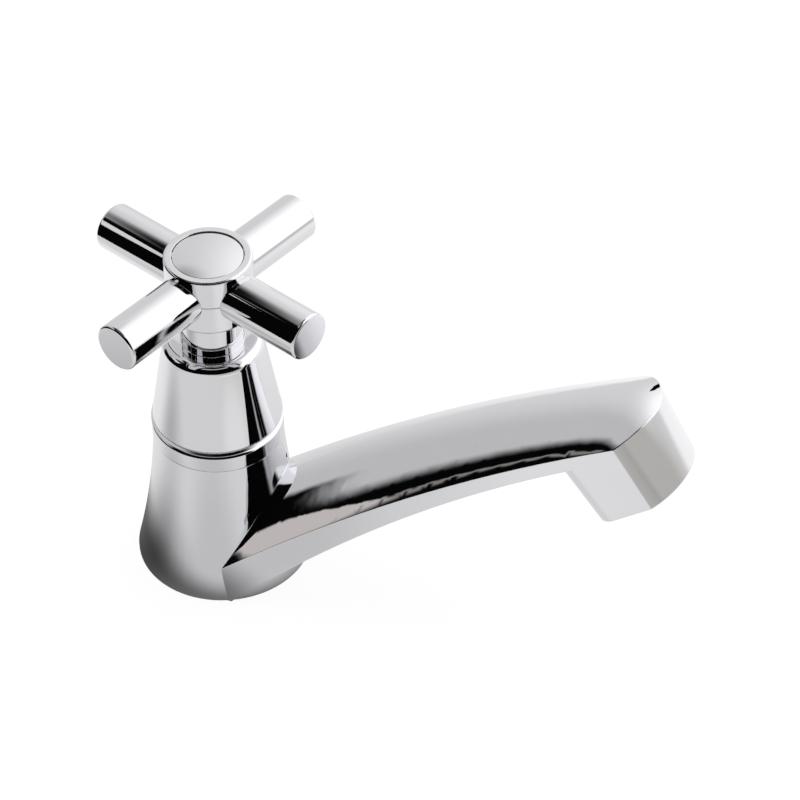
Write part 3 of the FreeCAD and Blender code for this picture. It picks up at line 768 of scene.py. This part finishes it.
# %% The studio's plan
WALL, FAR_WALL, LAMP, DARK = 0.77, 0.60, 1.32, 0.002
LAMP_AZIMUTH, LAMP_ELEVATION = math.radians(38.0), math.radians(20.0)
LAMP_RADIUS, LAMP_SOFTNESS = 56.0, 40.0
cards = [
    # azimuth, elevation, half width, half height, softness, brightness
    (178.0, 30.0, 38.0, 60.0, 40.0, FAR_WALL),
    (0.0, 90.0, 180.0, 22.0, 12.0, DARK),
    (-92.0, 12.0, 80.0, 50.0, 10.0, DARK),
    (-170.0, -10.0, 20.0, 27.0, 6.0, DARK),
]
print("cards in the studio:", len(cards))

# %% [markdown]
# The world starts at the walls' level, adds the lamp and lays the cards over it. The camera itself
# sees plain white, so the backdrop doesn't depend on how the metal is lit.

# %% World
world = bpy.data.worlds.new("studio")
bpy.context.scene.world = world
world.use_nodes = True
tree = world.node_tree
tree.nodes.clear()
direction = add_node(tree, "TexCoord").outputs["Generated"]
towards_lamp = Vector((math.cos(LAMP_AZIMUTH) * math.cos(LAMP_ELEVATION),
                       math.sin(LAMP_AZIMUTH) * math.cos(LAMP_ELEVATION),
                       math.sin(LAMP_ELEVATION)))
lit = use_group(tree, round_lamp, Direction=direction, Towards=towards_lamp, Radius=LAMP_RADIUS,
                Softness=LAMP_SOFTNESS)["Mask"]
level = calculate(tree, "MULTIPLY_ADD", lit, LAMP - WALL, WALL)
for card_azimuth, card_elevation, half_width, half_height, softness, brightness in cards:
    mask = use_group(tree, card, Direction=direction, Azimuth=card_azimuth,
                     Elevation=card_elevation, Half_width=half_width, Half_height=half_height,
                     Softness=softness)["Mask"]
    level = mix_values(tree, mask, level, brightness)
seen_by_camera = add_node(tree, "LightPath").outputs["Is Camera Ray"]
background = add_node(tree, "Background", Color=WHITE,
                      Strength=mix_values(tree, seen_by_camera, level, 1.0))
output = add_node(tree, "OutputWorld")
tree.links.new(background.outputs["Background"], output.inputs["Surface"])
print("world:", len(tree.nodes), "nodes")

# %% [markdown]
# ## The table
#
# The tap stands on its deck. The table is one large flat sheet with a hole for the tail. A plane
# would do for the camera, but it would close the hole that the tail hangs through, so the sheet is
# a ring of faces round it. Its left edge is near, so that the metal sees the dark room past it.

# %% Table sheet
TAIL_HOLE, NEAR_EDGE, REACH = 0.0140, 0.22, 4.0


def table_sheet(title, hole, near_edge, reach, steps=64):
    """A flat sheet with a round hole. Its left edge is near, and the other edges are far off."""
    mesh = bmesh.new()
    inner, outer = [], []
    for k in range(steps):
        angle = 2 * math.pi * (k + 0.5) / steps
        x, y = math.cos(angle), math.sin(angle)
        stretch = reach / max(abs(x), abs(y))
        inner.append(mesh.verts.new((hole * x, hole * y, 0)))
        outer.append(mesh.verts.new((max(stretch * x, -near_edge), stretch * y, 0)))
    for k in range(steps):
        j = (k + 1) % steps
        mesh.faces.new((inner[k], outer[k], outer[j], inner[j]))
    bmesh.ops.recalc_face_normals(mesh, faces=mesh.faces)
    return new_piece(title, mesh)


table_top = table_sheet("table", TAIL_HOLE, NEAR_EDGE, REACH)
print("table faces up:", table_top.data.polygons[0].normal.z > 0)

# %% [markdown]
# ### What the metal sees on the table
#
# A real white table isn't evenly lit: it is bright under the lamp, shaded round the tap and warmer
# and darker out in front of the spout. The camera sees it as plain white, but the chrome is mostly
# a picture of it. Soft round patches raise or lower the light that only mirrored rays meet.

# %% Helper: a patch of light
def patch_at(tree, place, full_within, gone_past):
    """1 near a place and 0 far from it, with a soft edge."""
    flat = add_node(tree, "VectorMath", {"operation": "DISTANCE"})
    feed(tree, flat.inputs[0], own_place(tree))
    flat.inputs[1].default_value = place
    return ramp(tree, flat.outputs["Value"], full_within, gone_past, 1.0, 0.0)


print("patch helper:", patch_at.__name__)

# %% [markdown]
# The patches are listed with their place, their size and what they change. The table as a whole
# mirrors as bright as the walls, and each patch multiplies that.

# %% Light on the table
TABLE_IN_METAL = 0.77
patches = [
    # x, y, full within, gone past, change in light, warm or not
    (0.22, 0.30, 0.14, 0.36, 0.42, False),
    (0.105, -0.088, 0.02, 0.06, 0.14, False),
    (0.010, -0.055, 0.01, 0.045, -0.18, False),
    (-0.110, 0.040, 0.02, 0.10, 0.22, False),
    (-0.028, -0.022, 0.0, 0.038, -0.74, False),
    (-0.005, -0.004, 0.024, 0.042, -0.74, False),
    (-0.090, -0.055, 0.0, 0.060, -0.34, False),
    (0.30, -0.17, 0.10, 0.22, -0.15, True),
    (0.90, -0.50, 0.55, 0.90, -0.30, True),
]

white, tree, shader = start_material("white table")
mirrored, warmth = TABLE_IN_METAL, 0.0
for x, y, full_within, gone_past, change, warm in patches:
    patch = patch_at(tree, (x, y, 0.0), full_within, gone_past)
    mirrored = calculate(
        tree, "MULTIPLY", mirrored, calculate(tree, "MULTIPLY_ADD", patch, change, 1.0))
    if warm:
        warmth = calculate(tree, "MAXIMUM", warmth, patch)
print("patches of light on the table:", len(patches))

# %% [markdown]
# ### The table's own shading
#
# To the camera the table is white, but it keeps a share of its real shading, so that a faint
# shadow stays under the tap. From below it is see-through, which lets the tail and nut be looked
# at.

# %% Table
TABLE_WHITE = 1.06
GLOW_TO_CAMERA = 0.88
TABLE_WARM = (1.0, 0.975, 0.92, 1.0)

shader.inputs["Base Color"].default_value = (0.88, 0.88, 0.88, 1.0)
shader.inputs["Roughness"].default_value = 0.9
shader.inputs["Specular IOR Level"].default_value = 0.0
path = add_node(tree, "LightPath").outputs
in_metal = calculate(tree, "MAXIMUM", path["Is Glossy Ray"], path["Is Transmission Ray"])
glow = add_node(
    tree, "Emission",
    Color=mix_colours(tree, calculate(tree, "MULTIPLY", warmth, in_metal), WHITE, TABLE_WARM),
    Strength=mix_values(tree, in_metal, TABLE_WHITE, mirrored),
)
to_camera = calculate(tree, "MULTIPLY", path["Is Camera Ray"], GLOW_TO_CAMERA)
from_above = mix_shaders(tree, calculate(tree, "ADD", to_camera, in_metal),
                         shader.outputs["BSDF"], glow.outputs["Emission"])
from_below = add_node(tree, "BsdfTransparent").outputs["BSDF"]
backfacing = add_node(tree, "NewGeometry").outputs["Backfacing"]
wire_out(tree, mix_shaders(tree, backfacing, from_above, from_below))
table_top.data.materials.append(white)
print("table material:", len(tree.nodes), "nodes")

# %% [markdown]
# ## A soft lamp
#
# The world draws the reflections, but it is dark on one side and overhead. A wide soft lamp above
# brings the table and the rubber to a plain level. It isn't mirrored, so the chrome keeps its dark
# ceiling.

# %% Soft lamp
lamp_data = bpy.data.lights.new("soft lamp", "AREA")
lamp_data.shape = "DISK"
lamp_data.size = 1.2
lamp_data.energy = 9.0
lamp = bpy.data.objects.new("soft lamp", lamp_data)
lamp.location = (0.1, 0.1, 1.3)
lamp.visible_glossy = False
bpy.context.scene.collection.objects.link(lamp)
print("lamp:", lamp_data.energy, "W,", lamp_data.size, "m across")

# %% [markdown]
# ## Cards near the tap
#
# A photographer holds small cards close to chrome, to draw a light line or to kill a bright spot.
# The world can't do that, because it is the same from every point of the tap. So four small cards
# hang near it. They are no part of the object. The camera doesn't see them, they cast no shadow,
# and each shows only to mirrored rays within a given length, so that it marks one piece and no
# other.

# %% Helper: a card's paint
def card_paint(title, colour, strength, from_m, to_m, shape=None):
    """Light or shade that shows only in metal at distances in a given range. shape makes a mask."""
    material, tree, _ = start_material(title)
    path = add_node(tree, "LightPath").outputs
    shown = calculate(tree, "MULTIPLY", path["Is Glossy Ray"], calculate(
        tree, "LESS_THAN", path["Ray Length"], to_m))
    shown = calculate(tree, "MULTIPLY", shown, calculate(
        tree, "GREATER_THAN", path["Ray Length"], from_m))
    if shape is not None:
        shown = calculate(tree, "MULTIPLY", shown, shape(tree))
    clear = add_node(tree, "BsdfTransparent").outputs["BSDF"]
    light = add_node(tree, "Emission", Color=colour, Strength=strength).outputs["Emission"]
    wire_out(tree, mix_shaders(tree, shown, clear, light))
    return material


print("paint helper:", card_paint.__name__)

# %% [markdown]
# A card hangs with its middle at a place and faces a point, as on a stand. Its sides come from the
# way it faces, so no angles have to be worked out by hand.

# %% Helper: hang a card
NEARLY_UPRIGHT = 0.99


def hang_card(title, place, facing, width, height, paint):
    """A flat oblong card, with its middle at a place, that faces a point."""
    out = (facing - place).normalized()
    level_way = Vector((0, 0, 1)).cross(out) if abs(out.z) < NEARLY_UPRIGHT else Vector((0, 1, 0))
    side = level_way.normalized()
    top = out.cross(side)
    mesh = bmesh.new()
    mesh.faces.new([mesh.verts.new(place + side * (i * width / 2) + top * (j * height / 2))
                    for i, j in ((-1, -1), (1, -1), (1, 1), (-1, 1))])
    hung = new_piece(title, mesh)
    hung.data.materials.append(paint)
    hung.visible_camera = hung.visible_diffuse = hung.visible_shadow = False
    return hung


print("card helper:", hang_card.__name__)

# %% [markdown]
# ### Strip
#
# A bright strip to the left of the handle draws the thin light line along the dark arms.

# %% Strip card
STRIP_DISTANCE = 0.80
STRIP_WAY = Vector((-0.774, -0.267, 0.574))
HANDLE_MIDDLE = Vector((0.0, 0.0, 0.0967))

strip = hang_card(
    "strip_card", STRIP_DISTANCE * STRIP_WAY, Vector((0.0, 0.0, 0.0)), width=0.25, height=0.19,
    paint=card_paint("strip card", (1.0, 0.97, 0.95, 1.0), strength=0.8, from_m=0.0, to_m=0.782))
strip_corner = strip.data.vertices[0].co
print("strip is", round((strip_corner - HANDLE_MIDDLE).length, 3), "m off the handle")

# %% [markdown]
# ### Shade
#
# A dark card with a soft round edge hangs level above the tap's left side. It widens the black
# band along the back left and front right arms upwards, and lets it fade out softly as on the real
# ones.

# %% Shade card
SHADE_PLACE = (-0.070, 0.0, 0.200)

shade = hang_card(
    "shade_card", Vector(SHADE_PLACE), Vector((-0.070, 0.0, 0.0)), width=0.15, height=0.15,
    paint=card_paint(
        "shade card", WHITE, strength=0.004, from_m=0.0, to_m=0.145,
        shape=lambda tree: patch_at(tree, SHADE_PLACE, full_within=0.015, gone_past=0.072)))
print("shade hangs", round(SHADE_PLACE[2], 3), "m over the deck")

# %% [markdown]
# ### Gap
#
# A narrow dark card near the nose stands for the gap between the lamp and the far wall. It draws
# the short black mark at the hood's far edge, where it turns down to the nose.

# %% Gap card
NOSE_END = Vector((0.121, 0.006, 0.088))
GAP_OFF_NOSE = Vector((-0.0190, 0.0798, 0.028))

gap = hang_card(
    "gap_card", NOSE_END + GAP_OFF_NOSE, NOSE_END, width=0.006, height=0.028,
    paint=card_paint("gap card", WHITE, strength=0.002, from_m=0.0, to_m=0.12))
print("gap card is", round(GAP_OFF_NOSE.length, 3), "m off the nose")

# %% [markdown]
# ### Tongue
#
# Low on the spout's near side the dark band holds a light, slightly warm tongue, wide at the root
# and thin as a hair further out. It is the mirror image of a pale card to the left of the tap. The
# card is a plain oblong, and a mask cuts the tongue out of it: a polygon's hard edge would turn
# jagged on the faceted metal, and a soft edge doesn't.

# %% Tongue's mask
BEIGE_AZIMUTH = math.radians(-155.0)
BEIGE_WAY = Vector((math.cos(BEIGE_AZIMUTH), math.sin(BEIGE_AZIMUTH), 0.0))
TONGUE_FOOT = (0.050, 0.062)      # heights between which the foot fades in
TONGUE_TAPER = (0.095, 0.175)     # heights between which it narrows
LEFT_EDGE = (-0.060, 0.006)       # its left edge, across the card, before and after that
LEFT_SOFTNESS = (-0.005, 0.006)
RIGHT_EDGE = (0.002, 0.016)       # across the card, where its right edge fades out


def tongue(tree):
    """Wide at the foot of the card, narrowing to a hair line further up, with soft edges."""
    place = split(tree, own_place(tree))
    across = calculate(tree, "MULTIPLY_ADD", place["X"], -BEIGE_WAY.y,
                       calculate(tree, "MULTIPLY", place["Y"], BEIGE_WAY.x))
    left_edge = ramp(tree, place["Z"], *TONGUE_TAPER, *LEFT_EDGE)
    mask = ramp(tree, calculate(tree, "SUBTRACT", across, left_edge), *LEFT_SOFTNESS)
    mask = calculate(tree, "MULTIPLY", mask, ramp(tree, across, *RIGHT_EDGE, 1.0, 0.0))
    return calculate(tree, "MULTIPLY", mask, ramp(tree, place["Z"], *TONGUE_FOOT))


print("tongue narrows from", TONGUE_TAPER[0], "to", TONGUE_TAPER[1], "m over the deck")

# %% Beige card
BEIGE_DISTANCE, BEIGE_HEIGHT = 0.30, 0.22

beige_place = BEIGE_DISTANCE * BEIGE_WAY + Vector((0.0, 0.0, BEIGE_HEIGHT))
beige = hang_card(
    "beige_card", beige_place, Vector((0.0, 0.0, beige_place.z)), width=0.15, height=0.38,
    paint=card_paint("beige card", (1.0, 0.93, 0.90, 1.0), strength=0.62, from_m=0.30, to_m=1.0,
                     shape=tongue))
print("cards near the tap:", strip.name, shade.name, gap.name, beige.name)

# %% [markdown]
# ## Colour and mirrored rays
#
# The Standard view shows colours as they are written. Mirrored rays may have to pass through many
# clear surfaces before they meet the studio, so their limit is raised.

# %% Finish
bpy.context.scene.view_settings.view_transform = "Standard"
bpy.context.scene.cycles.transparent_max_bounces = 32
